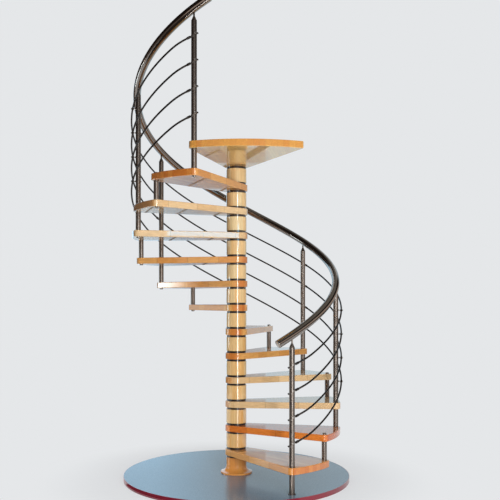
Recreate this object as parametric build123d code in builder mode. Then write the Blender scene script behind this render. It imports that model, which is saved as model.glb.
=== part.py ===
from build123d import *
import math
import os

# A free-standing spiral stair: wooden treads on a round column, a landing at the top, steel posts,
# a helical tube handrail and four infill rods, all standing on a round plinth.
# The origin is on the column's axis at the underside of the plinth, +Z is up, -Y is the front.

# Rise and turn
riser = 200.0
tread_count = 12
step_angle = 25.66
start_angle = -60.06
post_reach = 824.0

# Plinth, whose edge stands past the posts by a margin
plinth_margin = 107.0
plinth_thickness = 38.0
edge_band_thickness = 3.0

# Treads
tread_thickness = 52.0
hub_radius = 93.0
corner_radius = 38.0
tread_edge_round = 5.0

# Landing, whose outer edge runs from the last post's corner through a bowed middle to a free corner past the posts
landing_span = 54.8
landing_overhang = 97.0
landing_bow = 7.0
landing_middle_share = 0.53
landing_corner_round = 14.0

# Column
core_radius = 30.0
core_wall = 4.0
core_clearance = 0.3
sleeve_radius = 84.0
sleeve_edge_round = 2.0
ring_radius = 80.0
ring_thickness = 17.0
foot_radius = 131.0
foot_lip_height = 12.0
foot_cove_height = 73.0
cove_depth_share = 0.29
cap_radius = 70.0
cap_height = 26.0
cap_socket_depth = 14.0
cap_edge_round = 8.0

# Posts and spacers
post_radius = 21.0
post_wall = 2.0
post_clearance = 0.3
post_cone_height = 30.0
post_neck_radius = 8.0
pin_radius = 6.5
pin_length = 26.0
post_flange_radius = 28.0
post_flange_height = 6.0
spacer_radius = 20.0
spacer_wall = 2.0
nut_radius = 18.0
nut_height = 13.0
nut_dome_round = 8.0

# Handrail
rail_height = 977.0
rail_radius = 31.0
rail_wall = 2.0
rail_overrun_angle = 8.2
rail_end_cap_thickness = 5.0
rail_seat_gap = 0.3

# Infill rods
rod_count = 4
rod_radius = 7.0
rod_offset = 45.0
rod_first_height = 168.0
rod_last_height = 198.0
rod_spacing = 194.0
rod_bend_angle = 11.5
rod_bend_run = 65.0
holder_radius = 6.0
bolt_radius = 5.0
bolt_head_radius = 8.0
bolt_head_height = 9.0
ferrule_radius = 9.5
ferrule_length = 30.0
ferrule_floor = 10.0
rod_seat_gap = 0.3

# Cuts run this far past the faces that they break
overrun = 10.0

# Places worked out from the sizes above
landing_number = tread_count + 1
last_post = tread_count
half_step = step_angle / 2
plinth_radius = post_reach + plinth_margin
outer_radius = post_reach + corner_radius
landing_reach = post_reach + landing_overhang
landing_middle_reach = outer_radius + landing_bow
core_hole_radius = core_radius + core_clearance
post_hole_radius = post_radius + post_clearance
rod_reach = post_reach + rod_offset
side_lean = math.degrees(math.acos((hub_radius - corner_radius) / post_reach))
rail_slope = math.atan2(riser, math.radians(step_angle) * post_reach)
flight_turn = last_post * step_angle
rod_climb = last_post * riser + rod_last_height - rod_first_height
rod_slope = math.atan2(rod_climb, math.radians(flight_turn) * rod_reach)
bend_steps = rod_bend_angle / step_angle
long_posts = range(0, last_post + 1, 2)
short_posts = range(1, last_post, 2)


def level(number):
    """Height of the upper face of a tread; 0 is the plinth, one past the last tread is the landing."""
    return plinth_thickness + number * riser


def bearing(index):
    """Plan angle of a post in degrees, counted from the start post."""
    return start_angle + index * step_angle


def polar(radius, angle):
    """Plan point at a radius and an angle in degrees."""
    return (radius * math.cos(math.radians(angle)), radius * math.sin(math.radians(angle)))


def offset_point(point, radius, angle):
    """Plan point at a radius and an angle from another plan point."""
    shift = polar(radius, angle)
    return (point[0] + shift[0], point[1] + shift[1])


def turned_plane(angle, height):
    """Level plane on the column's axis with its x direction at a plan angle."""
    return Plane(origin=(0, 0, height), x_dir=(*polar(1, angle), 0), z_dir=(0, 0, 1))


def post_level_plane(index, height):
    """Level plane on a post's axis with its x direction outwards."""
    angle = bearing(index)
    return Plane(origin=(*polar(post_reach, angle), height), x_dir=(*polar(1, angle), 0), z_dir=(0, 0, 1))


def post_profile_plane(index, height):
    """Upright plane through a post's axis, x outwards and y upwards."""
    angle = bearing(index)
    outward = polar(1, angle)
    return Plane(
        origin=(*polar(post_reach, angle), height),
        x_dir=(*outward, 0),
        z_dir=(outward[1], -outward[0], 0),
    )


def post_axis(index):
    """Upright axis of a post."""
    return Axis((*polar(post_reach, bearing(index)), 0), (0, 0, 1))


def rail_seat_plane(index):
    """Sloping plane that touches the underside of the handrail above a post."""
    angle = bearing(index)
    sideways = polar(math.sin(rail_slope), angle + 90)
    normal = (-sideways[0], -sideways[1], math.cos(rail_slope))
    reach = rail_radius + rail_seat_gap
    base = polar(post_reach, angle)
    top = level(index + 1) + rail_height
    return Plane(
        origin=(base[0] - reach * normal[0], base[1] - reach * normal[1], top - reach * normal[2]),
        z_dir=normal,
    )


def helix_wire(radius, angle, height, turn, rise):
    """Helical wire about the column, of short arcs that follow each other, one for each tread."""
    arc_turn = turn / tread_count
    arc_rise = rise / tread_count
    arcs = []
    for number in range(tread_count):
        arc = Helix(pitch=rise * 360 / turn, height=arc_rise, radius=radius)
        arc = arc.rotate(Axis.Z, angle + number * arc_turn)
        arcs.append(arc.translate((0, 0, height + number * arc_rise)))
    return Wire(arcs)


def rod_height(index, place):
    """Height of a rod's axis at a post."""
    return level(1) + rod_first_height + place * rod_spacing + rod_climb * index / last_post


def rod_corner(index, place):
    """Point where the line of a rod's bend meets the line of its straight end at the first or the last post."""
    inwards = 1 if index == 0 else -1
    bend = index + inwards * bend_steps
    back = -inwards * rod_bend_run
    flat = polar(back * math.cos(rod_slope), bearing(bend) + 90)
    start = polar(rod_reach, bearing(bend))
    return Vector(start[0] + flat[0], start[1] + flat[1], rod_height(bend, place) + back * math.sin(rod_slope))


def rod_end_plane(index, place):
    """Upright plane on an end post's axis whose x direction runs out along the straight end of a rod."""
    middle = Vector(*polar(post_reach, bearing(index)), rod_height(index, place))
    outwards = (rod_corner(index, place) - middle).normalized()
    return Plane(origin=middle, x_dir=outwards, z_dir=outwards.cross(Vector(0, 0, 1)))


def bolt_seat(plane):
    """Distance from an end post's axis at which a square-cut ferrule on a sloping bolt clears the post."""
    steepness = abs(plane.x_dir.Z)
    return (post_radius + rod_seat_gap + ferrule_radius * steepness) / math.sqrt(1 - steepness * steepness)


os.makedirs("parts", exist_ok=True)

# Plinth: a round board with a thin band round its edge

with BuildPart() as plinth_disc:
    with BuildSketch(Plane.XY):
        Circle(plinth_radius)
    extrude(amount=plinth_thickness)
plinth_disc.part.label = "plinth_disc"
export_step(plinth_disc.part, "parts/plinth_disc.step")

with BuildPart() as plinth_edge_band:
    with BuildSketch(Plane.XY):
        Circle(plinth_radius + edge_band_thickness)
        Circle(plinth_radius, mode=Mode.SUBTRACT)
    extrude(amount=plinth_thickness)
plinth_edge_band.part.label = "plinth_edge_band"
export_step(plinth_edge_band.part, "parts/plinth_edge_band.step")

# Column: a steel core, a turned foot, sleeves between the treads, dark rings above and below each tread

foot_top = level(1) - tread_thickness - ring_thickness - level(0)
core_height = level(landing_number) + cap_socket_depth - level(0)

with BuildPart() as column_core:
    with BuildSketch(Plane.XY.offset(level(0))):
        Circle(core_radius)
        Circle(core_radius - core_wall, mode=Mode.SUBTRACT)
    extrude(amount=core_height)
column_core.part.label = "column_core"
export_step(column_core.part, "parts/column_core.step")

cove_width = foot_radius - sleeve_radius
cove_rise = foot_cove_height - foot_lip_height
with BuildPart() as column_foot:
    with BuildSketch(Plane(origin=(0, 0, level(0)), x_dir=(1, 0, 0), z_dir=(0, -1, 0))):
        with BuildLine():
            Polyline(
                (sleeve_radius, foot_cove_height),
                (sleeve_radius, foot_top),
                (core_hole_radius, foot_top),
                (core_hole_radius, 0),
                (foot_radius, 0),
                (foot_radius, foot_lip_height),
            )
            ThreePointArc(
                (foot_radius, foot_lip_height),
                (sleeve_radius + cove_depth_share * cove_width, foot_lip_height + cove_depth_share * cove_rise),
                (sleeve_radius, foot_cove_height),
            )
        make_face()
    revolve(axis=Axis.Z)
column_foot.part.label = "column_foot"
export_step(column_foot.part, "parts/column_foot.step")

sleeve_length = riser - tread_thickness - ring_thickness - ring_thickness
with BuildPart() as column_sleeves:
    for number in range(1, landing_number):
        with BuildSketch(Plane.XY.offset(level(number) + ring_thickness)):
            Circle(sleeve_radius)
            Circle(core_hole_radius, mode=Mode.SUBTRACT)
        extrude(amount=sleeve_length)
    sleeve_ends = column_sleeves.faces().filter_by(Axis.Z)
    fillet([face.outer_wire().edges() for face in sleeve_ends], radius=sleeve_edge_round)
column_sleeves.part.label = "column_sleeves"
export_step(column_sleeves.part, "parts/column_sleeves.step")

with BuildPart() as column_rings:
    for number in range(1, landing_number + 1):
        with BuildSketch(Plane.XY.offset(level(number) - tread_thickness - ring_thickness)):
            Circle(ring_radius)
            Circle(core_hole_radius, mode=Mode.SUBTRACT)
        extrude(amount=ring_thickness)
    for number in range(1, landing_number):
        with BuildSketch(Plane.XY.offset(level(number))):
            Circle(ring_radius)
            Circle(core_hole_radius, mode=Mode.SUBTRACT)
        extrude(amount=ring_thickness)
column_rings.part.label = "column_rings"
export_step(column_rings.part, "parts/column_rings.step")

with BuildPart() as column_cap:
    with BuildSketch(Plane.XY.offset(level(landing_number))):
        Circle(cap_radius)
    extrude(amount=cap_height)
    fillet(column_cap.faces().sort_by(Axis.Z)[-1].edges(), radius=cap_edge_round)
    with BuildSketch(Plane.XY.offset(level(landing_number))):
        Circle(core_hole_radius)
    extrude(amount=cap_socket_depth, mode=Mode.SUBTRACT)
column_cap.part.label = "column_cap"
export_step(column_cap.part, "parts/column_cap.step")

# Treads: a hub, two straight sides and an outer edge that is rounded about each post

side_angle = half_step + side_lean
turn_angle = (half_step + side_angle) / 2
far_corner = polar(post_reach, half_step)
near_corner = polar(post_reach, -half_step)

for number in range(1, landing_number):
    with BuildPart() as tread:
        with BuildSketch(turned_plane(bearing(number) - half_step, level(number) - tread_thickness)):
            with BuildLine():
                Line(polar(hub_radius, side_angle), offset_point(far_corner, corner_radius, side_angle))
                ThreePointArc(
                    offset_point(far_corner, corner_radius, side_angle),
                    offset_point(far_corner, corner_radius, turn_angle),
                    polar(outer_radius, half_step),
                )
                ThreePointArc(polar(outer_radius, half_step), (outer_radius, 0), polar(outer_radius, -half_step))
                ThreePointArc(
                    polar(outer_radius, -half_step),
                    offset_point(near_corner, corner_radius, -turn_angle),
                    offset_point(near_corner, corner_radius, -side_angle),
                )
                Line(offset_point(near_corner, corner_radius, -side_angle), polar(hub_radius, -side_angle))
                ThreePointArc(polar(hub_radius, -side_angle), (-hub_radius, 0), polar(hub_radius, side_angle))
            make_face()
        extrude(amount=tread_thickness)
        fillet(tread.edges().filter_by(Plane.XY), radius=tread_edge_round)
        with BuildSketch(Plane.XY.offset(level(number) - tread_thickness)):
            Circle(core_hole_radius)
        extrude(amount=tread_thickness, mode=Mode.SUBTRACT)
        if number - 1 in long_posts:
            with BuildSketch(post_level_plane(number - 1, level(number) - tread_thickness)):
                Circle(post_hole_radius)
            extrude(amount=tread_thickness, mode=Mode.SUBTRACT)
    tread.part.label = f"tread_{number:02d}"
    export_step(tread.part, f"parts/{tread.part.label}.step")

# Landing: the same hub and first corner, a longer outer edge and a free corner

post_angle = bearing(last_post)
free_angle = post_angle + landing_span
post_corner = polar(post_reach, post_angle)
free_corner = polar(landing_reach, free_angle)
free_side_angle = free_angle + math.degrees(math.acos(hub_radius / landing_reach))
start_side_angle = post_angle - side_lean
start_turn_angle = (post_angle + start_side_angle) / 2
middle_angle = post_angle + landing_middle_share * landing_span
back_angle = (start_side_angle + free_side_angle) / 2 + 180

with BuildPart() as landing:
    with BuildSketch(Plane.XY.offset(level(landing_number) - tread_thickness)) as landing_plan:
        with BuildLine():
            Line(polar(hub_radius, start_side_angle), offset_point(post_corner, corner_radius, start_side_angle))
            ThreePointArc(
                offset_point(post_corner, corner_radius, start_side_angle),
                offset_point(post_corner, corner_radius, start_turn_angle),
                polar(outer_radius, post_angle),
            )
            ThreePointArc(polar(outer_radius, post_angle), polar(landing_middle_reach, middle_angle), free_corner)
            Line(free_corner, polar(hub_radius, free_side_angle))
            ThreePointArc(
                polar(hub_radius, free_side_angle),
                polar(hub_radius, back_angle),
                polar(hub_radius, start_side_angle),
            )
        make_face()
        fillet(landing_plan.vertices().sort_by_distance(free_corner)[0], radius=landing_corner_round)
    extrude(amount=tread_thickness)
    fillet(landing.edges().filter_by(Plane.XY), radius=tread_edge_round)
    with BuildSketch(Plane.XY.offset(level(landing_number) - tread_thickness)):
        Circle(core_hole_radius)
    extrude(amount=tread_thickness, mode=Mode.SUBTRACT)
    with BuildSketch(post_level_plane(last_post, level(landing_number) - tread_thickness)):
        Circle(post_hole_radius)
    extrude(amount=tread_thickness, mode=Mode.SUBTRACT)
landing.part.label = "landing"
export_step(landing.part, "parts/landing.step")

# Long posts: tubes that stand on one tread, pass through the next and end in a cone and a pin under the rail

seat_drop = rail_radius / math.cos(rail_slope)
post_rise = riser + rail_height - seat_drop
cone_top = post_rise - pin_length
cone_base = cone_top - post_cone_height

for index in long_posts:
    with BuildPart() as post:
        with BuildSketch(post_profile_plane(index, level(index))):
            with BuildLine():
                Polyline(
                    (post_radius - post_wall, 0),
                    (post_radius, 0),
                    (post_radius, cone_base),
                    (post_neck_radius, cone_top),
                    (pin_radius, cone_top),
                    (pin_radius, post_rise + overrun),
                    (0, post_rise + overrun),
                    (0, cone_base),
                    (post_radius - post_wall, cone_base),
                    close=True,
                )
            make_face()
        revolve(axis=post_axis(index))
        split(bisect_by=rail_seat_plane(index), keep=Keep.BOTTOM)
        if index == 0:
            with BuildSketch(post_level_plane(index, level(index))):
                Circle(post_flange_radius)
                Circle(post_radius, mode=Mode.SUBTRACT)
            extrude(amount=post_flange_height)
        if index in (0, last_post):
            for place in range(rod_count):
                end_plane = rod_end_plane(index, place)
                with BuildSketch(Plane(origin=end_plane.origin, z_dir=end_plane.x_dir)):
                    Circle(bolt_radius + rod_seat_gap)
                extrude(amount=bolt_seat(end_plane), both=True, mode=Mode.SUBTRACT)
    post.part.label = "start_post" if index == 0 else f"post_{index:02d}"
    export_step(post.part, f"parts/{post.part.label}.step")

# Short spacer tubes between the outer ends of the other treads

spacer_length = riser - tread_thickness
for index in short_posts:
    with BuildPart() as spacer:
        with BuildSketch(post_level_plane(index, level(index))):
            Circle(spacer_radius)
            Circle(spacer_radius - spacer_wall, mode=Mode.SUBTRACT)
        extrude(amount=spacer_length)
    spacer.part.label = f"spacer_{index:02d}"
    export_step(spacer.part, f"parts/{spacer.part.label}.step")

# Domed cap nuts under every post, and on the tread above every spacer

with BuildPart() as cap_nuts_lower:
    for index in range(1, last_post + 1):
        with BuildSketch(post_level_plane(index, level(index) - tread_thickness)):
            Circle(nut_radius)
        extrude(amount=-nut_height)
    lower_faces = cap_nuts_lower.faces().filter_by(lambda face: face.normal_at().Z < 0).filter_by(GeomType.PLANE)
    fillet(lower_faces.edges(), radius=nut_dome_round)
cap_nuts_lower.part.label = "cap_nuts_lower"
export_step(cap_nuts_lower.part, "parts/cap_nuts_lower.step")

with BuildPart() as cap_nuts_upper:
    for index in short_posts:
        with BuildSketch(post_level_plane(index, level(index + 1))):
            Circle(nut_radius)
        extrude(amount=nut_height)
    upper_faces = cap_nuts_upper.faces().filter_by(lambda face: face.normal_at().Z > 0).filter_by(GeomType.PLANE)
    fillet(upper_faces.edges(), radius=nut_dome_round)
cap_nuts_upper.part.label = "cap_nuts_upper"
export_step(cap_nuts_upper.part, "parts/cap_nuts_upper.step")

# Handrail: one bent tube over the posts, closed by a flat cap at each end

rail_angle = bearing(0) - rail_overrun_angle
rail_turn = flight_turn + 2 * rail_overrun_angle
rail_rise = riser * rail_turn / step_angle
rail_start = level(1) + rail_height - riser * rail_overrun_angle / step_angle

rail_path = helix_wire(post_reach, rail_angle, rail_start, rail_turn, rail_rise)
with BuildPart() as handrail:
    with BuildSketch(Plane(origin=rail_path @ 0, z_dir=rail_path % 0)):
        Circle(rail_radius)
        Circle(rail_radius - rail_wall, mode=Mode.SUBTRACT)
    sweep(path=rail_path, is_frenet=True)
handrail.part.label = "handrail"
export_step(handrail.part, "parts/handrail.step")

with BuildPart() as handrail_end_caps:
    with BuildSketch(Plane(origin=rail_path @ 0, z_dir=-(rail_path % 0))):
        Circle(rail_radius)
    extrude(amount=rail_end_cap_thickness)
    with BuildSketch(Plane(origin=rail_path @ 1, z_dir=rail_path % 1)):
        Circle(rail_radius)
    extrude(amount=rail_end_cap_thickness)
handrail_end_caps.part.label = "handrail_end_caps"
export_step(handrail_end_caps.part, "parts/handrail_end_caps.step")

# Infill rods: round bars outside the posts, whose ends bend in to the first and the last post

rod_angle = bearing(0) + rod_bend_angle
rod_turn = flight_turn - 2 * rod_bend_angle
rod_rise = rod_climb * rod_turn / flight_turn

for place in range(rod_count):
    rod_path = helix_wire(rod_reach, rod_angle, rod_height(bend_steps, place), rod_turn, rod_rise)
    with BuildPart() as infill_rod:
        with BuildSketch(Plane(origin=rod_path @ 0, z_dir=rod_path % 0)):
            Circle(rod_radius)
        sweep(path=rod_path, is_frenet=True)
        for index, side in ((0, 0), (last_post, 1)):
            end_plane = rod_end_plane(index, place)
            corner = rod_corner(index, place)
            outwards = end_plane.x_dir
            bend_start = rod_path @ side
            bend_line = (corner - bend_start).normalized()
            bend_end = corner - outwards * rod_bend_run
            rod_stop = end_plane.origin + outwards * (bolt_seat(end_plane) + ferrule_floor + rod_seat_gap)
            with BuildLine(mode=Mode.PRIVATE) as rod_end:
                TangentArc(bend_start, bend_end, tangent=bend_line)
                Line(bend_end, rod_stop)
            with BuildSketch(Plane(origin=bend_start, z_dir=bend_line)):
                Circle(rod_radius)
            sweep(path=rod_end.wire())
    infill_rod.part.label = f"infill_rod_{place + 1}"
    export_step(infill_rod.part, f"parts/{infill_rod.part.label}.step")

# Holders: short round arms on the posts between, and at both ends bolts through the post with a ferrule on the rod

holder_start = post_reach + post_radius + rod_seat_gap
holder_end = rod_reach - rod_radius - rod_seat_gap
ferrule_bore = rod_radius + rod_seat_gap
with BuildPart() as rod_holders:
    for index in long_posts:
        for place in range(rod_count):
            if index in (0, last_post):
                end_plane = rod_end_plane(index, place)
                seat = bolt_seat(end_plane)
                with BuildSketch(end_plane):
                    with BuildLine():
                        Polyline(
                            (-seat - bolt_head_height, 0),
                            (-seat - bolt_head_height, bolt_head_radius),
                            (-seat, bolt_head_radius),
                            (-seat, bolt_radius),
                            (seat, bolt_radius),
                            (seat, ferrule_radius),
                            (seat + ferrule_length, ferrule_radius),
                            (seat + ferrule_length, ferrule_bore),
                            (seat + ferrule_floor, ferrule_bore),
                            (seat + ferrule_floor, 0),
                            close=True,
                        )
                    make_face()
                revolve(axis=Axis(end_plane.origin, end_plane.x_dir))
                continue
            outward = polar(1, bearing(index))
            with BuildSketch(
                Plane(
                    origin=(*polar(holder_start, bearing(index)), rod_height(index, place)),
                    x_dir=(0, 0, 1),
                    z_dir=(*outward, 0),
                )
            ):
                Circle(holder_radius)
            extrude(amount=holder_end - holder_start)
rod_holders.part.label = "rod_holders"
export_step(rod_holders.part, "parts/rod_holders.step")
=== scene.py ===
"""Spiral stair: finishes, rod clamps, cap nuts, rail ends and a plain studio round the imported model."""

import math

import bmesh
import bpy
from bpy.props import FloatProperty, FloatVectorProperty, PointerProperty
from mathutils import Matrix, Vector


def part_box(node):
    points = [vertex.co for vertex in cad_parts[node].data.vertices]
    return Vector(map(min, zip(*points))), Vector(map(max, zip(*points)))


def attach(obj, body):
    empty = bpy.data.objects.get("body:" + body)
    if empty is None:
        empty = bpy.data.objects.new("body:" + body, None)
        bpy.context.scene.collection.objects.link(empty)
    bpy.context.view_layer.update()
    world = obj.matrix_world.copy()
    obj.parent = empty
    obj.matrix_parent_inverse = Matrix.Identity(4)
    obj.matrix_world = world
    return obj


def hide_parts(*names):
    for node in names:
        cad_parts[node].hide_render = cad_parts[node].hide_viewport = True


bl_info = {
    "name": "Spiral stair",
    "version": (1, 0, 0),
    "blender": (4, 5, 0),
    "location": "3D View > Sidebar > Stair",
    "description": "Dresses a beech and steel spiral stair and its plinth",
    "category": "Add Mesh",
}

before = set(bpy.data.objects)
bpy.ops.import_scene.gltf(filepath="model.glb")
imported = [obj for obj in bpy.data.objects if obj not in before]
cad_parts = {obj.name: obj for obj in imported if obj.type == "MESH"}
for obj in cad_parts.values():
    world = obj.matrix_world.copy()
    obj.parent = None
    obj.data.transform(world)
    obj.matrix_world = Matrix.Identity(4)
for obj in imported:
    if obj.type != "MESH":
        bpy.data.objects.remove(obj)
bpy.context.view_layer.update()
plinth_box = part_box("plinth_disc")
tread_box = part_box("tread_01")

TREAD_COUNT = 12
ROD_COUNT = 4
DEEP_TREADS = ["tread_02"]
GOLDEN_TREADS = [f"tread_{number:02d}" for number in (1, 5, 6, 7, 8, 9, 12)]
PALE_TREADS = [f"tread_{number:02d}" for number in (3, 4, 10, 11)]
POSTS = ["start_post"] + [f"post_{number:02d}" for number in range(2, TREAD_COUNT + 1, 2)]
SPACERS = [f"spacer_{number:02d}" for number in range(1, TREAD_COUNT, 2)]
RODS = [f"infill_rod_{number}" for number in range(1, ROD_COUNT + 1)]

# Sizes of the finishes' patterns, in metres
GRAIN_WIDTH = 0.009
TREAD_GRAIN_LENGTH = 0.3
SLEEVE_GRAIN_LENGTH = 0.2
GLUE_LINE = 0.0015
RING_PEBBLE = 0.003
LAMINATE_FLECK = 0.006
BAND_WAVE = 0.08
PAINT_PEEL = 0.004

# Share of a riser that keeps a tread's upper face with its own tread
FACE_SLACK = 0.05
# Share of a stave's width by which each tread and sleeve starts further on
STAVE_SHIFT = 0.37
# How far the sleeves' tones differ within one sleeve, and how much paler each sleeve is than the one below
SLEEVE_SPREAD = 0.5
SLEEVE_LIFT = 1 / 24

# Lacquer that all the beech carries, over wood with little gloss of its own
LACQUERED = {"Roughness": 0.4, "Specular IOR Level": 0.2, "Coat Weight": 1, "Coat IOR": 1.75}

# Corners of the added pieces that are sharper than this stay sharp, and points closer than this are one
SHARP_CORNER = math.radians(40)
WELD = 0.000001


def linear(hex_code):
    """Linear colour of an sRGB hex value."""
    channels = [int(hex_code[start:start + 2], 16) / 255 for start in (0, 2, 4)]
    return [c / 12.92 if c <= 0.04045 else ((c + 0.055) / 1.055) ** 2.4 for c in channels]


def colour(name, hex_code, description):
    """Colour property whose default is an sRGB hex value."""
    return FloatVectorProperty(
        name=name, description=description, subtype="COLOR", size=3, min=0, max=1, default=linear(hex_code)
    )


def length(name, metres, description):
    """Length property in metres."""
    return FloatProperty(name=name, description=description, unit="LENGTH", default=metres, precision=4)


def angle(name, degrees, description):
    """Angle property given in degrees."""
    return FloatProperty(name=name, description=description, unit="ROTATION", default=math.radians(degrees))


class StairSizes(bpy.types.PropertyGroup):
    """Sizes of the stair that the fittings and the wood pattern follow"""

    riser: length("Riser", 0.2, "Rise from one tread to the next")
    step_angle: angle("Step angle", 25.66, "Turn from one tread to the next")
    start_angle: angle("Start angle", -60.06, "Plan angle of the start post")
    plinth_top: length("Plinth top", plinth_box[1].z, "Height of the plinth's upper face")
    tread_thickness: length("Tread thickness", tread_box[1].z - tread_box[0].z, "Thickness of a tread")
    post_reach: length("Post reach", 0.824, "Distance of the posts from the column's axis")
    post_radius: length("Post radius", 0.021, "Radius of a post")
    sleeve_radius: length("Sleeve radius", 0.084, "Radius of the column's sleeves")
    rail_height: length("Rail height", 0.977, "Height of the handrail's axis above the treads")
    rail_radius: length("Rail radius", 0.031, "Radius of the handrail")
    rail_overrun: angle("Rail overrun", 8.2, "Turn of the handrail past the first and last post")
    rod_offset: length("Rod offset", 0.045, "Distance of the rods from the posts' axes")
    rod_radius: length("Rod radius", 0.007, "Radius of a rod")
    rod_first: length("Rod start", 0.168, "Height of the lowest rod above the first tread")
    rod_last: length("Rod end", 0.198, "Height of the lowest rod above the landing")
    rod_spacing: length("Rod spacing", 0.194, "Distance from one rod to the next")
    rod_bend: angle("Rod bend", 11.5, "Turn over which a rod's end bends in to its post")
    rod_bend_run: length("Bend run", 0.065, "Run of a rod's bend on each side of its corner")
    barrel_radius: length("Barrel radius", 0.0095, "Radius of the barrels and ferrules on the rods")
    barrel_length: length("Barrel length", 0.022, "Length of the barrel that holds a rod")
    ferrule_length: length("Ferrule length", 0.03, "Length of the ferrule on a rod's end")
    stem_radius: length("Stem radius", 0.0045, "Radius of the stem that carries a barrel")
    stem_reach: length("Stem reach", 0.059, "Distance of a stem's tip from the post's axis")
    bolt_head: length("Bolt head", 0.008, "Radius of the nut on a rod's bolt")
    nut_radius: length("Nut radius", 0.018, "Radius of the washer under a cap nut")
    nut_height: length("Nut height", 0.013, "Height of a cap nut with its washer")
    stave_width: length("Stave width", 0.042, "Width of the beech staves")
    stave_length: length("Stave length", 0.62, "Length of the beech staves in the treads")


class StairColours(bpy.types.PropertyGroup):
    """Colours of the stair and its studio"""

    deep_light: colour("Deep tread light", "D67C30", "Palest stave of the deep-toned tread")
    deep_dark: colour("Deep tread dark", "C86A24", "Darkest stave of the deep-toned tread")
    golden_light: colour("Golden tread light", "DCA35C", "Palest stave of the golden treads")
    golden_dark: colour("Golden tread dark", "CE8A44", "Darkest stave of the golden treads")
    honey_light: colour("Landing light", "E0B96E", "Palest stave of the landing")
    honey_dark: colour("Landing dark", "D8A65E", "Darkest stave of the landing")
    pale_light: colour("Pale tread light", "DCBA8B", "Palest stave of the pale treads")
    pale_dark: colour("Pale tread dark", "D2AB79", "Darkest stave of the pale treads")
    # End-grain tint, deepened beyond the wood's own as painted shade on the treads' end faces
    end_grain_and_shade: colour("End grain", "E8C49C", "Tint of the sawn ends of the staves")
    sleeve_light: colour("Sleeve light", "DEC696", "Palest stave of the sleeves")
    sleeve_dark: colour("Sleeve dark", "D69E56", "Darkest stave of the sleeves")
    foot_light: colour("Foot light", "E0A456", "Palest stave of the foot")
    foot_dark: colour("Foot dark", "D2843A", "Darkest stave of the foot")
    # Steel tints darker and browner than bare steel, as painted reflection of dark and wooden surroundings
    tube: colour("Tube", "8A8078", "Satin-polished steel of the posts and spacers")
    rail: colour("Rail", "9A918A", "Polished steel of the handrail")
    bar: colour("Bar", "46413E", "Drawn steel of the rods")
    fitting: colour("Fitting", "B8B2AC", "Turned steel of the nuts, clamps and caps")
    ring: colour("Ring", "1E1510", "Moulded rings on the column")
    laminate_light: colour("Laminate light", "6F8494", "Paler fleck of the plinth's upper face")
    laminate_dark: colour("Laminate dark", "5D7081", "Darker fleck of the plinth's upper face")
    band: colour("Edge band", "7E182A", "Band round the plinth")
    core: colour("Core", "232323", "Painted tube inside the column")
    backdrop: colour("Backdrop", "E5E7E9", "Floor and background")


def add_node(tree, kind, values=None, links=None, **settings):
    """Adds a node with its settings, the values of its inputs and the links to them."""
    node = tree.nodes.new(kind)
    for name, value in settings.items():
        setattr(node, name, value)
    for key, value in (values or {}).items():
        node.inputs[key].default_value = value
    for key, socket in (links or {}).items():
        tree.links.new(socket, node.inputs[key])
    return node


def new_material(name):
    """Empty node material and its tree."""
    material = bpy.data.materials.new(name)
    material.use_nodes = True
    material.node_tree.nodes.clear()
    return material, material.node_tree


def close_material(tree, values, links):
    """Ends a material in one surface shader."""
    surface = add_node(tree, "ShaderNodeBsdfPrincipled", values, links)
    add_node(tree, "ShaderNodeOutputMaterial", links={"Surface": surface.outputs[0]})


def rgba(value):
    """Colour with full alpha for a node's input."""
    return (value[0], value[1], value[2], 1)


def grain_shade(tree, place, offset, size, low, high):
    """Shade of grain streaks of a given size, which start at an offset of each stave's own."""
    streaks = add_node(
        tree, "ShaderNodeVectorMath", {1: [1 / side for side in size]}, {0: place, 2: offset},
        operation="MULTIPLY_ADD",
    )
    flecks = add_node(
        tree, "ShaderNodeTexNoise", {"Scale": 1, "Detail": 3, "Roughness": 0.6},
        {"Vector": streaks.outputs[0]}, noise_dimensions="3D",
    )
    shade = add_node(
        tree, "ShaderNodeMapRange",
        {"From Min": 0.3, "From Max": 0.7, "To Min": low, "To Max": high}, {"Value": flecks.outputs[0]},
    )
    return shade.outputs[0]


def mottle(tree, tint, grit, low, high):
    """Uneven surface of a given grit and the tint that varies with it."""
    place = add_node(tree, "ShaderNodeTexCoord")
    uneven = add_node(
        tree, "ShaderNodeTexNoise", {"Scale": 1 / grit, "Detail": 2},
        {"Vector": place.outputs["Object"]}, noise_dimensions="3D",
    )
    shade = add_node(
        tree, "ShaderNodeMapRange", {"To Min": low, "To Max": high}, {"Value": uneven.outputs[0]}
    )
    tinted = add_node(
        tree, "ShaderNodeVectorMath", {0: tint}, {"Scale": shade.outputs[0]}, operation="SCALE"
    )
    return uneven.outputs[0], tinted.outputs[0]
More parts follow.
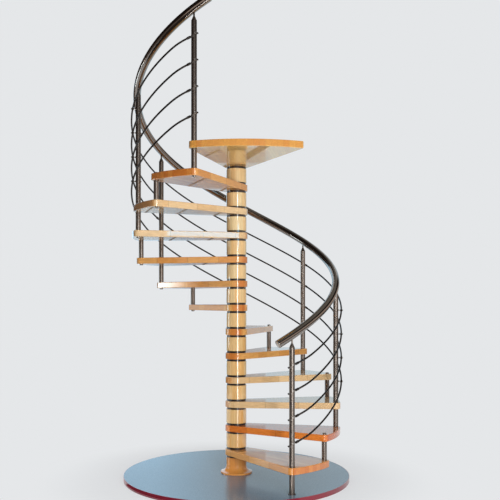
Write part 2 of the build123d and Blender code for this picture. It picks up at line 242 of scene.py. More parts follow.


# Beech, sawn into staves, glued up and lacquered: golden blocks in slightly different tones, streaks along a
# tread's length, sawn ends redder from end grain and darker still from painted shade, and a clear gloss that
# turns the flat faces pale at low angles.
def beech_treads(name, sizes, colours, dark, light):
    """Beech staves that run along each tread."""
    material, tree = new_material(name)
    place = add_node(tree, "ShaderNodeTexCoord")
    axes = add_node(tree, "ShaderNodeSeparateXYZ", links={0: place.outputs["Object"]})

    # The height of a point tells which tread it is on, and so which way the staves lie there
    rise = add_node(
        tree, "ShaderNodeMath",
        {1: 1 / sizes.riser, 2: -sizes.plinth_top / sizes.riser - FACE_SLACK},
        {0: axes.outputs["Z"]}, operation="MULTIPLY_ADD",
    )
    number = add_node(tree, "ShaderNodeMath", links={0: rise.outputs[0]}, operation="CEIL")
    turn = add_node(
        tree, "ShaderNodeMath",
        {1: -sizes.step_angle, 2: sizes.step_angle / 2 - sizes.start_angle},
        {0: number.outputs[0]}, operation="MULTIPLY_ADD",
    )
    plan = add_node(
        tree, "ShaderNodeVectorRotate",
        links={"Vector": place.outputs["Object"], "Angle": turn.outputs[0]}, rotation_type="Z_AXIS",
    )
    facing = add_node(
        tree, "ShaderNodeVectorRotate",
        links={"Vector": place.outputs["Normal"], "Angle": turn.outputs[0]}, rotation_type="Z_AXIS",
    )
    lie = add_node(tree, "ShaderNodeSeparateXYZ", links={0: plan.outputs[0]})
    side = add_node(tree, "ShaderNodeSeparateXYZ", links={0: facing.outputs[0]})

    # Staves side by side, each of lengths that start at a place of their own
    shift = add_node(tree, "ShaderNodeMath", {1: STAVE_SHIFT}, {0: number.outputs[0]}, operation="MULTIPLY")
    across = add_node(
        tree, "ShaderNodeMath", {1: 1 / sizes.stave_width},
        {0: lie.outputs["Y"], 2: shift.outputs[0]}, operation="MULTIPLY_ADD",
    )
    stave = add_node(tree, "ShaderNodeMath", links={0: across.outputs[0]}, operation="FLOOR")
    row = add_node(tree, "ShaderNodeCombineXYZ", links={"X": stave.outputs[0], "Y": number.outputs[0]})
    start = add_node(
        tree, "ShaderNodeTexWhiteNoise", links={"Vector": row.outputs[0]}, noise_dimensions="2D"
    )
    along = add_node(
        tree, "ShaderNodeMath", {1: 1 / sizes.stave_length},
        {0: lie.outputs["X"], 2: start.outputs["Value"]}, operation="MULTIPLY_ADD",
    )
    piece = add_node(tree, "ShaderNodeMath", links={0: along.outputs[0]}, operation="FLOOR")
    block = add_node(
        tree, "ShaderNodeCombineXYZ",
        links={"X": stave.outputs[0], "Y": number.outputs[0], "Z": piece.outputs[0]},
    )
    tone = add_node(
        tree, "ShaderNodeTexWhiteNoise", links={"Vector": block.outputs[0]}, noise_dimensions="3D"
    )

    wood = add_node(
        tree, "ShaderNodeMix", {6: rgba(dark), 7: rgba(light)}, {0: tone.outputs["Value"]}, data_type="RGBA"
    )

    # Grain streaks 9 mm wide and 300 mm long, coarser than beech flecks so that they show
    size = (TREAD_GRAIN_LENGTH, GRAIN_WIDTH, GRAIN_WIDTH)
    shade = grain_shade(tree, plan.outputs[0], tone.outputs["Color"], size, 0.88, 1.1)

    # Glue lines 1.5 mm wide between the staves
    joint = add_node(tree, "ShaderNodeMath", {1: 0.5}, {0: across.outputs[0]}, operation="PINGPONG")
    line = add_node(
        tree, "ShaderNodeMapRange",
        {"From Max": GLUE_LINE / 2 / sizes.stave_width, "To Min": 0.7}, {"Value": joint.outputs[0]},
    )
    depth = add_node(tree, "ShaderNodeMath", links={0: shade, 1: line.outputs[0]}, operation="MULTIPLY")
    grained = add_node(
        tree, "ShaderNodeVectorMath",
        links={0: wood.outputs[2], "Scale": depth.outputs[0]}, operation="SCALE",
    )

    # Sawn ends drink more lacquer and look redder; their tint is also deeper, as painted shade on the end
    # faces
    lengthwise = add_node(tree, "ShaderNodeMath", links={0: side.outputs["X"]}, operation="ABSOLUTE")
    sawn = add_node(
        tree, "ShaderNodeMapRange", {"From Min": 0.55, "From Max": 0.95}, {"Value": lengthwise.outputs[0]},
        interpolation_type="SMOOTHSTEP",
    )
    dressed = add_node(
        tree, "ShaderNodeMix", {7: rgba(colours.end_grain_and_shade)},
        {0: sawn.outputs[0], 6: grained.outputs[0]}, data_type="RGBA", blend_type="MULTIPLY",
    )
    relief = add_node(
        tree, "ShaderNodeBump", {"Strength": 0.03, "Distance": 0.0005}, {"Height": depth.outputs[0]}
    )
    close_material(
        tree, LACQUERED | {"Coat Roughness": 0.03},
        {"Base Color": dressed.outputs[2], "Normal": relief.outputs[0]},
    )
    return material


# Beech, glued up in a ring, turned round and lacquered: pale gold upright staves with a bright gloss streak.
def beech_sleeves(name, sizes, dark, light):
    """Beech staves that stand round the column."""
    material, tree = new_material(name)
    place = add_node(tree, "ShaderNodeTexCoord")
    axes = add_node(tree, "ShaderNodeSeparateXYZ", links={0: place.outputs["Object"]})
    rise = add_node(
        tree, "ShaderNodeMath",
        {1: 1 / sizes.riser, 2: -sizes.plinth_top / sizes.riser},
        {0: axes.outputs["Z"]}, operation="MULTIPLY_ADD",
    )
    number = add_node(tree, "ShaderNodeMath", links={0: rise.outputs[0]}, operation="FLOOR")
    bearing = add_node(
        tree, "ShaderNodeMath", links={0: axes.outputs["Y"], 1: axes.outputs["X"]}, operation="ARCTAN2"
    )
    staves_round = round(2 * math.pi * sizes.sleeve_radius / sizes.stave_width)
    shift = add_node(tree, "ShaderNodeMath", {1: STAVE_SHIFT}, {0: number.outputs[0]}, operation="MULTIPLY")
    across = add_node(
        tree, "ShaderNodeMath", {1: staves_round / (2 * math.pi)},
        {0: bearing.outputs[0], 2: shift.outputs[0]}, operation="MULTIPLY_ADD",
    )
    stave = add_node(tree, "ShaderNodeMath", links={0: across.outputs[0]}, operation="FLOOR")
    block = add_node(tree, "ShaderNodeCombineXYZ", links={"X": stave.outputs[0], "Y": number.outputs[0]})
    tone = add_node(
        tree, "ShaderNodeTexWhiteNoise", links={"Vector": block.outputs[0]}, noise_dimensions="2D"
    )
    # Paler staves were picked for the upper sleeves
    higher = add_node(
        tree, "ShaderNodeMath", {1: SLEEVE_LIFT}, {0: number.outputs[0]}, operation="MULTIPLY"
    )
    picked = add_node(
        tree, "ShaderNodeMath", {1: SLEEVE_SPREAD},
        {0: tone.outputs["Value"], 2: higher.outputs[0]}, operation="MULTIPLY_ADD",
    )
    wood = add_node(
        tree, "ShaderNodeMix", {6: rgba(dark), 7: rgba(light)}, {0: picked.outputs[0]}, data_type="RGBA"
    )

    # Grain streaks 9 mm wide that run up the sleeves, coarser than beech flecks so that they show
    size = (GRAIN_WIDTH, GRAIN_WIDTH, SLEEVE_GRAIN_LENGTH)
    shade = grain_shade(tree, place.outputs["Object"], tone.outputs["Color"], size, 0.9, 1.08)
    grained = add_node(
        tree, "ShaderNodeVectorMath", links={0: wood.outputs[2], "Scale": shade}, operation="SCALE"
    )
    relief = add_node(tree, "ShaderNodeBump", {"Strength": 0.03, "Distance": 0.0005}, {"Height": shade})
    close_material(
        tree, LACQUERED | {"Coat Roughness": 0.05},
        {"Base Color": grained.outputs[0], "Normal": relief.outputs[0]},
    )
    return material


# Stainless steel, drawn, turned or blasted, and polished more or less: a dark mirror on the handrail,
# a satin sheen on the posts, and a faint haze of polishing marks across the piece. The tubes', rail's and
# rods' tints are darker and browner than bare steel, a painted reflection of dark and wooden surroundings.
def steel(name, tint, roughness, mark):
    """Steel whose polishing marks have a given spacing."""
    material, tree = new_material(name)
    place = add_node(tree, "ShaderNodeTexCoord")
    fine = add_node(
        tree, "ShaderNodeTexNoise", {"Scale": 1 / mark, "Detail": 4, "Roughness": 0.65},
        {"Vector": place.outputs["Object"]}, noise_dimensions="3D",
    )
    haze = add_node(
        tree, "ShaderNodeMapRange",
        {"From Min": 0.3, "From Max": 0.7, "To Min": roughness * 0.92, "To Max": roughness * 1.1},
        {"Value": fine.outputs[0]},
    )
    shade = add_node(
        tree, "ShaderNodeMapRange",
        {"From Min": 0.3, "From Max": 0.7, "To Min": 0.95, "To Max": 1.04}, {"Value": fine.outputs[0]},
    )
    metal = add_node(
        tree, "ShaderNodeVectorMath", {0: tint}, {"Scale": shade.outputs[0]}, operation="SCALE"
    )
    close_material(
        tree, {"Metallic": 1}, {"Base Color": metal.outputs[0], "Roughness": haze.outputs[0]}
    )
    return material


# Rubbery plastic, moulded: brown-black with a soft gloss and a faint pebble.
def moulded_ring(colours):
    """Moulded ring between the wooden pieces of the column."""
    material, tree = new_material("thermoplastic_rubber_moulded")
    pebble, tint = mottle(tree, colours.ring, RING_PEBBLE, 0.8, 1.25)
    relief = add_node(tree, "ShaderNodeBump", {"Strength": 0.02, "Distance": 0.0002}, {"Height": pebble})
    close_material(
        tree,
        {"Roughness": 0.45, "Coat Weight": 1, "Coat Roughness": 0.05, "Coat IOR": 1.6},
        {"Base Color": tint, "Normal": relief.outputs[0]},
    )
    return material


# Laminate, pressed on a board: blue-grey with fine flecks and a half-gloss that blurs what stands on it.
def pressed_laminate(colours):
    """Upper face of the plinth."""
    material, tree = new_material("laminate_pressed_half_gloss")
    place = add_node(tree, "ShaderNodeTexCoord")
    fleck = add_node(
        tree, "ShaderNodeTexNoise", {"Scale": 1 / LAMINATE_FLECK, "Detail": 3, "Roughness": 0.7},
        {"Vector": place.outputs["Object"]}, noise_dimensions="3D",
    )
    contrast = add_node(
        tree, "ShaderNodeMapRange", {"From Min": 0.35, "From Max": 0.65}, {"Value": fleck.outputs[0]}
    )
    tint = add_node(
        tree, "ShaderNodeMix", {6: rgba(colours.laminate_dark), 7: rgba(colours.laminate_light)},
        {0: contrast.outputs[0]}, data_type="RGBA",
    )
    gloss = add_node(
        tree, "ShaderNodeMapRange", {"To Min": 0.18, "To Max": 0.26}, {"Value": fleck.outputs[0]}
    )
    close_material(tree, {"IOR": 1.75}, {"Base Color": tint.outputs[2], "Roughness": gloss.outputs[0]})
    return material


# Edging strip, extruded and glued on: dark red with a wet-looking gloss and slight waves along its length.
def extruded_band(colours):
    """Band round the plinth."""
    material, tree = new_material("edging_strip_extruded_gloss")
    tint = mottle(tree, colours.band, BAND_WAVE, 0.85, 1.15)[1]
    close_material(
        tree, {"Roughness": 0.3, "Coat Weight": 0.5, "Coat Roughness": 0.1}, {"Base Color": tint}
    )
    return material


# Steel tube, sprayed: black paint with an orange-peel ripple.
def sprayed_core(colours):
    """Tube inside the column."""
    material, tree = new_material("steel_tube_sprayed_black")
    peel, tint = mottle(tree, colours.core, PAINT_PEEL, 0.85, 1.15)
    relief = add_node(tree, "ShaderNodeBump", {"Strength": 0.15, "Distance": 0.0003}, {"Height": peel})
    close_material(tree, {"Roughness": 0.4}, {"Base Color": tint, "Normal": relief.outputs[0]})
    return material


def finish(names, material):
    """Gives CAD nodes a material."""
    for name in names:
        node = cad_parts[name]
        if not node.material_slots:
            node.data.materials.append(material)
        for place in node.material_slots:
            place.material = material


def level(sizes, number):
    """Height of the upper face of a tread; 0 is the plinth."""
    return sizes.plinth_top + number * sizes.riser


def at_post(sizes, index, height):
    """Place on a post's axis, x outwards and z upwards."""
    bearing = sizes.start_angle + index * sizes.step_angle
    turn = Matrix.Rotation(bearing, 4, "Z")
    return Matrix.Translation((0, 0, height)) @ turn @ Matrix.Translation((sizes.post_reach, 0, 0))


def climb(sizes, reach):
    """Slope of a line that climbs with the stair at a distance from the column's axis."""
    return math.atan2(sizes.riser, sizes.step_angle * reach)


def rod_height(sizes, index, row):
    """Height of a rod's axis at a post."""
    rise = TREAD_COUNT * sizes.riser + sizes.rod_last - sizes.rod_first
    return level(sizes, 1) + sizes.rod_first + row * sizes.rod_spacing + rise * index / TREAD_COUNT


def rod_end(sizes, index, row):
    """Place on an end post's axis, z out along the straight end of a rod."""
    inwards = 1 if index == 0 else -1
    bend = index + inwards * sizes.rod_bend / sizes.step_angle
    reach = sizes.post_reach + sizes.rod_offset
    rise = rod_height(sizes, TREAD_COUNT, 0) - rod_height(sizes, 0, 0)
    slope = math.atan2(rise, TREAD_COUNT * sizes.step_angle * reach)
    outer = at_post(sizes, bend, rod_height(sizes, bend, row))
    back = -inwards * sizes.rod_bend_run
    corner = outer @ Vector((sizes.rod_offset, back * math.cos(slope), back * math.sin(slope)))
    middle = at_post(sizes, index, rod_height(sizes, index, row)).translation
    return Matrix.Translation(middle) @ (corner - middle).to_track_quat("Z", "Y").to_matrix().to_4x4()


def turned_form(bm, profile, place, steps=32, shade=0):
    """Adds a turned form from pairs of radius and height, from axis to axis or closed on itself."""
    rings = []
    for radius, height in profile:
        if radius == 0:
            rings.append([bm.verts.new(place @ Vector((0, 0, height)))])
            continue
        turns = [2 * math.pi * step / steps for step in range(steps)]
        points = [Vector((radius * math.cos(turn), radius * math.sin(turn), height)) for turn in turns]
        rings.append([bm.verts.new(place @ point) for point in points])
    for low, high in zip(rings, rings[1:]):
        for step in range(steps):
            after = (step + 1) % steps
            below = (low[step % len(low)], low[after % len(low)])
            above = (high[after % len(high)], high[step % len(high)])
            bm.faces.new(dict.fromkeys(below + above)).material_index = shade


def saddle(bm, place, inner, outer, spread, half, shade):
    """Adds a washer bent round a post, whose middle faces x."""
    steps = 16
    turns = [spread * (2 * step / steps - 1) for step in range(steps + 1)]
    edge = (outer - inner) * 0.35
    outline = (
        (inner, -half), (outer - edge, -half), (outer, -half + edge),
        (outer, half - edge), (outer - edge, half), (inner, half),
    )
    rings = []
    for turn in turns:
        around = Matrix.Rotation(turn, 4, "Z")
        points = [place @ around @ Vector((radius, 0, height)) for radius, height in outline]
        rings.append([bm.verts.new(point) for point in points])
    for near, far in zip(rings, rings[1:]):
        for corner in range(len(outline)):
            after = (corner + 1) % len(outline)
            bm.faces.new((near[corner], far[corner], far[after], near[after])).material_index = shade
    bm.faces.new(rings[0]).material_index = shade
    bm.faces.new(rings[-1]).material_index = shade


def add_piece(context, bm, name, materials, slot, *nodes):
    """Makes a piece from a mesh in the making, which stands for CAD nodes and rides with the stair."""
    bmesh.ops.remove_doubles(bm, verts=bm.verts, dist=WELD)
    bmesh.ops.recalc_face_normals(bm, faces=bm.faces)
    for face in bm.faces:
        face.smooth = True
    for edge in bm.edges:
        edge.smooth = edge.calc_face_angle(0) < SHARP_CORNER
    mesh = bpy.data.meshes.new(name)
    bm.to_mesh(mesh)
    bm.free()
    for material in materials:
        mesh.materials.append(material)
    piece = bpy.data.objects.new(name, mesh)
    context.scene.collection.objects.link(piece)
    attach(piece, "root")
    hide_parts(*nodes)


class STAIR_OT_plinth(bpy.types.Operator):
    """Finish the plinth and its edge band"""

    bl_idname = "stair.plinth"
    bl_label = "Plinth"

    def execute(self, context):
        colours = context.scene.stair_colours
        finish(["plinth_disc"], pressed_laminate(colours))
        finish(["plinth_edge_band"], extruded_band(colours))
        return {"FINISHED"}


class STAIR_OT_column(bpy.types.Operator):
    """Finish the column's sleeves, foot, cap, rings and core"""

    bl_idname = "stair.column"
    bl_label = "Column"

    def execute(self, context):
        sizes = context.scene.stair_sizes
        colours = context.scene.stair_colours
        sleeves = beech_sleeves(
            "beech_turned_and_lacquered", sizes, colours.sleeve_dark, colours.sleeve_light
        )
        foot = beech_sleeves(
            "beech_foot_turned_and_lacquered", sizes, colours.foot_dark, colours.foot_light
        )
        finish(["column_sleeves", "column_cap"], sleeves)
        finish(["column_foot"], foot)
        finish(["column_rings"], moulded_ring(colours))
        finish(["column_core"], sprayed_core(colours))
        return {"FINISHED"}


class STAIR_OT_treads(bpy.types.Operator):
    """Finish the treads and the landing"""

    bl_idname = "stair.treads"
    bl_label = "Treads and landing"

    def execute(self, context):
        sizes = context.scene.stair_sizes
        colours = context.scene.stair_colours
        grades = (
            (DEEP_TREADS, "deep", colours.deep_dark, colours.deep_light),
            (GOLDEN_TREADS, "golden", colours.golden_dark, colours.golden_light),
            (["landing"], "honey", colours.honey_dark, colours.honey_light),
            (PALE_TREADS, "pale", colours.pale_dark, colours.pale_light),
        )
        for names, grade, dark, light in grades:
            name = f"beech_{grade}_staves_glued_and_lacquered"
            finish(names, beech_treads(name, sizes, colours, dark, light))
        return {"FINISHED"}


class STAIR_OT_tubes(bpy.types.Operator):
    """Finish the posts, spacers and handrail"""

    bl_idname = "stair.tubes"
    bl_label = "Posts and handrail"

    def execute(self, context):
        colours = context.scene.stair_colours
        finish(POSTS + SPACERS, steel("stainless_tube_polished", colours.tube, roughness=0.38, mark=0.03))
        bent = steel("stainless_tube_bent_and_polished", colours.rail, roughness=0.12, mark=0.03)
        finish(["handrail"], bent)
        return {"FINISHED"}


class STAIR_OT_rods(bpy.types.Operator):
    """Finish the infill rods"""

    bl_idname = "stair.rods"
    bl_label = "Infill rods"

    def execute(self, context):
        colours = context.scene.stair_colours
        finish(RODS, steel("stainless_bar_drawn", colours.bar, roughness=0.28, mark=0.02))
        return {"FINISHED"}


class STAIR_OT_clamps(bpy.types.Operator):
    """Make the clamps that hold the rods on the posts"""

    bl_idname = "stair.clamps"
    bl_label = "Rod clamps"

    def execute(self, context):
        sizes = context.scene.stair_sizes
        colours = context.scene.stair_colours
        bm = bmesh.new()
        wall = sizes.post_radius
        sunk = wall - 0.004
        play = 0.0002
        bore = sizes.rod_radius + play
        wide = sizes.barrel_radius
        edge = wide * 0.16

        # Posts between: a stem through the post carries a barrel on the rod and ends in a small round head
        half = sizes.barrel_length / 2
        barrel = [
            (bore, -half), (wide - edge, -half), (wide, -half + edge), (wide, half - edge),
            (wide - edge, half), (bore, half), (bore, -half),
        ]
        thin = sizes.stem_radius
        tip = sizes.stem_reach
        collar = thin * 1.75
        knob = thin * 1.3
        stem = [
            (0, sunk), (collar, sunk), (collar, wall + 0.0015), (thin * 1.5, wall + 0.003),
            (thin, wall + 0.0045), (thin, tip - 0.0055), (knob, tip - 0.005), (knob, tip - 0.0015),
            (thin * 1.1, tip - 0.0004), (thin * 0.7, tip), (0, tip + 0.0003),
        ]
        head = [
            (0, sunk), (collar, sunk), (collar, wall + 0.001), (thin * 1.5, wall + 0.0028),
            (thin * 0.9, wall + 0.0042), (0, wall + 0.0047),
        ]
        slope = climb(sizes, sizes.post_reach + sizes.rod_offset)
        square = math.radians(90)
        outward = Matrix.Rotation(square, 4, "Y")
        inward = Matrix.Rotation(-square, 4, "Y")
        along = Matrix.Translation((sizes.rod_offset, 0, 0)) @ Matrix.Rotation(slope - square, 4, "X")
        for index in range(2, TREAD_COUNT, 2):
            for row in range(ROD_COUNT):
                place = at_post(sizes, index, rod_height(sizes, index, row))
                turned_form(bm, stem, place @ outward)
                turned_form(bm, head, place @ inward)
                turned_form(bm, barrel, place @ along, shade=1)

        # End posts: a bolt through the post holds the rod's ferrule, on bent washers, with a domed nut behind
        off_wall = 0.0003
        bore_floor = 0.0101
        washer_sunk = 0.0005
        washer_proud = 0.0025
        ferrule_spread = math.radians(100)
        nut_spread = math.radians(76)
        for index in (0, TREAD_COUNT):
            for row in range(ROD_COUNT):
                place = rod_end(sizes, index, row)
                axis = place.to_3x3().col[2]
                flat = math.hypot(axis.x, axis.y)
                seat = (wall + off_wall + wide * abs(axis.z)) / flat
                stop = seat + sizes.ferrule_length
                floor = seat + bore_floor
                ferrule = [
                    (0, -seat), (thin, -seat), (thin, seat), (wide * 0.7, seat), (wide, seat + edge * 2),
                    (wide, stop - edge), (wide - edge, stop), (bore, stop), (bore, floor), (0, floor),
                ]
                nut = sizes.bolt_head
                dome = [
                    (0, -seat), (nut * 0.9, -seat), (nut * 0.9, -seat - 0.003), (nut * 0.78, -seat - 0.005),
                    (nut * 0.45, -seat - 0.0066), (0, -seat - 0.007),
                ]
                turned_form(bm, ferrule, place, shade=1)
                turned_form(bm, dome, place, shade=1)
                for facing, spread in ((1, ferrule_spread), (-1, nut_spread)):
                    bearing = math.atan2(axis.y * facing, axis.x * facing)
                    lift = Vector((0, 0, facing * wall * axis.z / flat))
                    spot = Matrix.Translation(place.translation + lift) @ Matrix.Rotation(bearing, 4, "Z")
                    saddle(bm, spot, wall - washer_sunk, wall + washer_proud, spread, nut, 2)
        finishes = (
            steel("stainless_fitting_turned", colours.fitting, roughness=0.2, mark=0.01),
            steel("stainless_ferrule_turned", colours.bar, roughness=0.24, mark=0.01),
            steel("stainless_washer_blasted", colours.fitting, roughness=0.38, mark=0.01),
        )
        add_piece(context, bm, "rod_clamps", finishes, "stainless", "rod_holders")
        return {"FINISHED"}


class STAIR_OT_nuts(bpy.types.Operator):
    """Make the domed cap nuts with their washers"""

    bl_idname = "stair.nuts"
    bl_label = "Cap nuts"

    def execute(self, context):
        sizes = context.scene.stair_sizes
        wide = sizes.nut_radius
        tall = sizes.nut_height
        profile = [
            (0, 0), (wide, 0), (wide, tall * 0.12), (wide * 0.97, tall * 0.17), (wide * 0.83, tall * 0.18),
            (wide * 0.83, tall * 0.28), (wide * 0.91, tall * 0.33), (wide * 0.91, tall * 0.6),
            (wide * 0.86, tall * 0.74), (wide * 0.7, tall * 0.89), (wide * 0.42, tall * 0.97), (0, tall),
        ]
        colours = context.scene.stair_colours
        turned = steel("stainless_nut_turned", colours.fitting, roughness=0.18, mark=0.01)
        over = Matrix.Rotation(math.radians(180), 4, "X")
        lower = bmesh.new()
        for index in range(1, TREAD_COUNT + 1):
            under = level(sizes, index) - sizes.tread_thickness
            turned_form(lower, profile, at_post(sizes, index, under) @ over)
        add_piece(context, lower, "cap_nuts_under_treads", [turned], "stainless", "cap_nuts_lower")
        upper = bmesh.new()
        for index in range(1, TREAD_COUNT, 2):
            turned_form(upper, profile, at_post(sizes, index, level(sizes, index + 1)))
        add_piece(context, upper, "cap_nuts_on_treads", [turned], "stainless", "cap_nuts_upper")
        return {"FINISHED"}


class STAIR_OT_rail_ends(bpy.types.Operator):
    """Make the dished plugs that close the handrail"""

    bl_idname = "stair.rail_ends"
    bl_label = "Rail ends"

    def execute(self, context):
        sizes = context.scene.stair_sizes
        wide = sizes.rail_radius
        profile = [
            (0, -0.004), (wide * 0.8, -0.004), (wide * 0.8, 0.0003), (wide, 0.0003), (wide, 0.003),
            (wide * 0.985, 0.0041), (wide * 0.95, 0.0048), (wide * 0.9, 0.005), (wide * 0.84, 0.0045),
            (wide * 0.78, 0.0038), (0, 0.0032),
        ]
        slope = climb(sizes, sizes.post_reach)
        past = sizes.rail_overrun / sizes.step_angle
        bm = bmesh.new()
        square = math.radians(90)
        for index, tilt in ((-past, slope + square), (TREAD_COUNT + past, slope - square)):
            place = at_post(sizes, index, level(sizes, index + 1) + sizes.rail_height)
            turned_form(bm, profile, place @ Matrix.Rotation(tilt, 4, "X"), steps=48)
        colours = context.scene.stair_colours
        turned = steel("stainless_plug_turned", colours.fitting, roughness=0.2, mark=0.01)
        add_piece(context, bm, "rail_end_plugs", [turned], "stainless", "handrail_end_caps")
        return {"FINISHED"}


def spot_at(bearing, reach, height):
    """Place in the studio at a bearing in degrees, 0 on the camera's side and 90 on the right."""
    turn = math.radians(bearing)
    return (reach * math.sin(turn), -reach * math.cos(turn), height)


# The studio, in metres, degrees and watts
FLOOR_REACH = 6
FLOOR_FADE = (0.95, 1.7)
ROUND_STEPS = 96
SCREEN_REACH = 5.6
SCREEN_FOOT = 0.01
SCREEN_STEPS = 48
AMBIENT_TINT = "F2F3F5"
AMBIENT_STRENGTH = 0.27
CAMERA_SPOT = (0, -6.1376, 1.46)
CAMERA_LENS = 52.787
CAMERA_SENSOR = 36
CAMERA_SHIFT = (0.0272, 0.1042)

# Glowing screens that only reflections show, painting reflected light and shade: the axis that the tints run
# along, the places of the first and last tint, the tints, the glow
REFLECTION_GLOWS = {
    "reflection_glow_dark_brown": ("Z", 0, 4, ("342824", "6A605A", "7A726C", "4A403A", "2C2320"), 1),
    "reflection_glow_brown": (
        "Z", 0, 4.8, ("1E1412", "3A302C", "8A7E76", "B4A89E", "948A82", "30282A", "141010"), 1.9,
    ),
    "reflection_glow_pale_blue": ("X", -1.3, -0.1, ("C0E6FF", "A4B4BC"), 1.7),
    "reflection_glow_grey": ("X", -1.5, 1.5, ("2A2420", "8A8882"), 1),
    "reflection_glow_black": ("X", -1.5, 1.5, ("3A3430", "3A3430"), 1),
    "reflection_glow_warm_grey": ("X", -2, 0.4, ("CDDCE6", "C4D4DE", "9CAEBE", "AC9E98", "B8BEC2"), 1),
    "reflection_glow_white": ("Y", -0.75, -0.05, ("1A120C", "7A6E62", "C0C8C8", "E2FAFF"), 16),
    "reflection_glow_ice_blue": ("X", 0, 1, ("E0F4FF", "E0F4FF"), 4.2),
    "reflection_glow_bright_white": ("X", 0, 1, ("FFFFFF", "FFFFFF"), 8),
    "reflection_glow_umber": ("X", 0, 1, ("5A504A", "5A504A"), 1),
}
# Screen glows above this are sampled as lamps are, and the others have this strength
BRIGHT_GLOW = 3
DIM_STRENGTH = 0.5

# Curved screens, seen only in reflections, that paint dark and pale bands there:
# glow, first and last bearing, height
SCREENS = (
    ("screen_left", "reflection_glow_dark_brown", -145, -35, 7),
    ("screen_front", "reflection_glow_brown", -35, 138, 7),
    ("screen_back", "reflection_glow_pale_blue", 138, 214, 5),
)

# Round sheets that lie flat, seen only in reflections, that paint dark reflections from above and below:
# glow, middle, radius
SHEETS = (
    ("screen_above", "reflection_glow_grey", (0, 0, 7), SCREEN_REACH),
    ("screen_floor", "reflection_glow_black", (-1.2, -3.3, 0.012), 3),
)

# Glowing cards that only reflections show, painting highlights and reflections: glow and corners. One draws
# the pale line on the column's left, one greys the undersides of the upper treads, one whitens an end of the
# eighth tread, and one carries the column's streak down the plinth.
EDGE_CARD_REACH = 5.35
FLOOR_CARD_HEIGHT = 0.014
CARDS = (
    (
        "card_edge", "reflection_glow_ice_blue",
        [
            spot_at(bearing, EDGE_CARD_REACH, height)
            for bearing, height in ((-108, 0.75), (-92, 0.75), (-92, 1.85), (-108, 1.85))
        ],
    ),
    (
        "card_back", "reflection_glow_warm_grey",
        [(-2.2, 5.2, 1.32), (0.45, 5.2, 1.32), (0.45, 5.2, 1.56), (-2.2, 5.2, 1.56)],
    ),
    (
        "card_left", "reflection_glow_white",
        [(-5.3, -0.8, 1.6), (-5.3, 0.15, 1.6), (-5.3, 0.15, 1.85), (-5.3, -0.8, 1.85)],
    ),
    (
        "card_floor", "reflection_glow_bright_white",
        [
            spot_at(bearing, reach, FLOOR_CARD_HEIGHT)
            for bearing, reach in ((12.1, 0.97), (17.1, 0.97), (17.1, 4.7), (12.1, 4.7))
        ],
    ),
)

# Dark slats before the keys, seen only in reflections, paint shade over the keys' steep reflections. They lie
# along the camera's sight lines as the column mirrors them, so that only steep reflections meet them
SLAT_COUNT = 16
SLAT_SPACING = 0.22
# Share of its height above or below the camera that a slat loses towards the stair
SLAT_FALL = 0.143
SLAT_FAR_END = ((0.72, -4.72), (1.66, -4.5))
SLAT_NEAR_END = ((1.34, -3.24), (0.4, -3.46))

# Lamps: place, what it faces, width, height, watts, tint, spread, and whether reflections show it
LAMPS = (
    ("key_low", (1.2, -4.75, 1.125), (0, 0, 1.125), 0.6, 2.25, 75, "FFFFFF", 180, True),
    ("key_high", (1.2, -4.75, 3.02), (0, 0, 3.02), 0.6, 0.64, 21, "FFFFFF", 180, True),
    ("fill", (1.9, -4.6, 1.2), (0, 0, 1.2), 2.3, 2.4, 116, "FFFFFF", 180, False),
    ("strip", (1.87, -4.75, 2.47), (0, 0, 2.47), 1.46, 0.36, 9.5, "3CC8FF", 180, True),
    ("left", (-3.2, 0.4, 0.3), (0, -0.2, 0.3), 1.0, 0.5, 7, "E8F2FF", 60, False),
    ("strip_behind", (-4.04, 3.58, 1.38), (-0.3, 0.5, 1.4), 0.8, 0.26, 0.9, "FFE6D0", 180, True),
    ("overhead", (0.4, -0.8, 6.2), (0, 0, 0), 3.2, 3.2, 55, "FFFFFF", 180, False),
    ("back", (-2.6, 4.6, 3.6), (0, 0, 1.6), 2.4, 3.0, 90, "FFFFFF", 180, False),
)


def shown_plain(tree):
    """Socket that is 1 where the camera, a reflection or a clear material looks, and 0 elsewhere."""
    path = add_node(tree, "ShaderNodeLightPath")
    seen = add_node(
        tree, "ShaderNodeMath", links={0: path.outputs["Is Camera Ray"], 1: path.outputs["Is Glossy Ray"]},
        operation="ADD",
    )
    shown = add_node(
        tree, "ShaderNodeMath", links={0: seen.outputs[0], 1: path.outputs["Is Transmission Ray"]},
        operation="ADD", use_clamp=True,
    )
    return shown.outputs[0]


# Painted floor, rolled: pale grey, seen as the plain backdrop, and it keeps the shadow near the plinth.
def rolled_floor(colours):
    """Floor that fades into the backdrop away from the plinth."""
    material, tree = new_material("floor_paint_rolled")
    place = add_node(tree, "ShaderNodeTexCoord")
    flat = add_node(
        tree, "ShaderNodeVectorMath", {1: (1, 1, 0)}, {0: place.outputs["Object"]}, operation="MULTIPLY"
    )
    reach = add_node(tree, "ShaderNodeVectorMath", links={0: flat.outputs[0]}, operation="LENGTH")
    fade = add_node(
        tree, "ShaderNodeMapRange", {"From Min": FLOOR_FADE[0], "From Max": FLOOR_FADE[1], "To Min": 0.7},
        {"Value": reach.outputs["Value"]}, interpolation_type="SMOOTHSTEP",
    )
    weight = add_node(
        tree, "ShaderNodeMath", links={0: fade.outputs[0], 1: shown_plain(tree)}, operation="MULTIPLY"
    )
    lit = add_node(tree, "ShaderNodeBsdfDiffuse", {"Color": rgba(colours.backdrop)})
    plain = add_node(tree, "ShaderNodeEmission", {"Color": rgba(colours.backdrop)})
    both = add_node(
        tree, "ShaderNodeMixShader", links={0: weight.outputs[0], 1: lit.outputs[0], 2: plain.outputs[0]}
    )
    add_node(tree, "ShaderNodeOutputMaterial", links={"Surface": both.outputs[0]})
    return material
